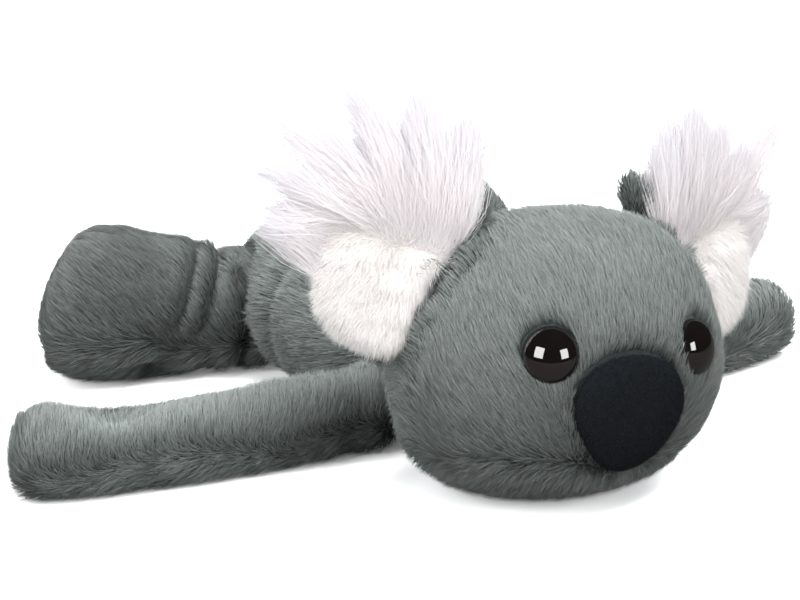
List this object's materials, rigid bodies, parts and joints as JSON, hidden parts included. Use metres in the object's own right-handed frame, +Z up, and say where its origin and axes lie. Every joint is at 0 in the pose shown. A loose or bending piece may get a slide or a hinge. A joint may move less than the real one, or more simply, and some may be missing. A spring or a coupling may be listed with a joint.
{
  "type": "plush koala",
  "caption": "Plush koala lying flat on its belly, limbs spread and chin down, with long grey-green pile, black eyes and nose, and white tufted ears.",
  "frame": {"origin": "on the ground, in the middle of the flat that the belly rests on", "axes": "+Z up, the face looks along -Y, the koala's right side is -X"},
  "size_m": [0.3226, 0.2779, 0.1357],
  "materials": {
    "grey_plush": "grey-green long-nap plush",
    "white_plush": "dense short-pile plush",
    "long_pile_white": "long straight shaggy pile",
    "velour_black": "matte short-nap velour",
    "eye_plastic": "polished black-brown",
    "washer_plastic": "natural moulded plastic",
    "fibre_filling": "white fibre wadding",
    "pouch_cloth": "plain woven cloth bag of pellets"
  },
  "bodies": {
    "torso": {"torso_skin": "grey_plush", "torso_filling": "fibre_filling", "pellet_pouch": "pouch_cloth"},
    "head": {"head_skin": "grey_plush", "head_filling": "fibre_filling", "nose": "velour_black", "eye_right": "eye_plastic", "eye_left": "eye_plastic", "eye_washer_right": "washer_plastic", "eye_washer_left": "washer_plastic"},
    "ear_right": {"ear_back_right": "grey_plush", "ear_front_right": "white_plush", "ear_tuft_right": "long_pile_white"},
    "arm_right": {"arm_skin_right": "grey_plush", "arm_filling_right": "fibre_filling"},
    "leg_right": {"leg_skin_right": "grey_plush", "leg_filling_right": "fibre_filling"},
    "ear_left": {"ear_back_left": "grey_plush", "ear_front_left": "white_plush", "ear_tuft_left": "long_pile_white"},
    "arm_left": {"arm_skin_left": "grey_plush", "arm_filling_left": "fibre_filling"},
    "leg_left": {"leg_skin_left": "grey_plush", "leg_filling_left": "fibre_filling"}
  },
  "joints": [
    {"name": "neck_seam", "type": "hinge", "parent": "torso", "child": "head", "pos_m": [0, -0.07, 0.036], "axis": [-1, 0, 0], "range_deg": [0, 25], "stiffness_Nm_per_rad": 0.3},
    {"name": "shoulder_right_seam", "type": "hinge", "parent": "torso", "child": "arm_right", "pos_m": [-0.034, -0.058, 0.01486], "axis": [0, 0, 1], "range_deg": [-25, 35], "stiffness_Nm_per_rad": 0.12},
    {"name": "hip_right_seam", "type": "hinge", "parent": "torso", "child": "leg_right", "pos_m": [-0.032, 0.048, 0.0235], "axis": [0, 0, 1], "range_deg": [-20, 20], "stiffness_Nm_per_rad": 0.15},
    {"name": "ear_right_root", "type": "hinge", "parent": "head", "child": "ear_right", "pos_m": [-0.0354, -0.108, 0.07507], "axis": [0.595, 0, 0.8037], "range_deg": [-15, 15], "stiffness_Nm_per_rad": 0.05},
    {"name": "shoulder_left_seam", "type": "hinge", "parent": "torso", "child": "arm_left", "pos_m": [0.034, -0.058, 0.01486], "axis": [0, 0, -1], "range_deg": [-25, 35], "stiffness_Nm_per_rad": 0.12},
    {"name": "hip_left_seam", "type": "hinge", "parent": "torso", "child": "leg_left", "pos_m": [0.032, 0.048, 0.0235], "axis": [0, 0, -1], "range_deg": [-20, 20], "stiffness_Nm_per_rad": 0.15},
    {"name": "ear_left_root", "type": "hinge", "parent": "head", "child": "ear_left", "pos_m": [0.05251, -0.108, 0.0631], "axis": [-0.4464, 0, 0.8948], "range_deg": [-15, 15], "stiffness_Nm_per_rad": 0.05}
  ]
}
